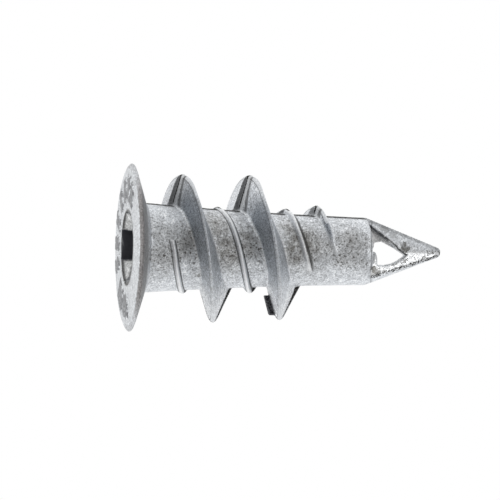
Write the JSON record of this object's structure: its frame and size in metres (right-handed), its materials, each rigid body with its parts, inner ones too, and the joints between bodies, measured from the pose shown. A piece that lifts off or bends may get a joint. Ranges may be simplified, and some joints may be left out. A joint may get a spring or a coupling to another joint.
{
  "type": "self-drilling drywall anchor",
  "caption": "Die-cast zinc plasterboard anchor with a flat round head, a cross drive recess, a wide tapering screw thread and a pointed, windowed drill tip.",
  "frame": {"origin": "centre of the head's flat outer face", "axes": "+Z along the anchor's axis, from the head to the drill tip; XZ is the parting plane of the casting; an anchor standing on its head has its tip up"},
  "size_m": [0.016, 0.016, 0.03],
  "materials": {
    "cast_zinc": "as-cast zinc alloy, dull silver-grey, lightly pitted and tarnished"
  },
  "bodies": {
    "root": {"anchor": "cast_zinc"}
  },
  "joints": []
}
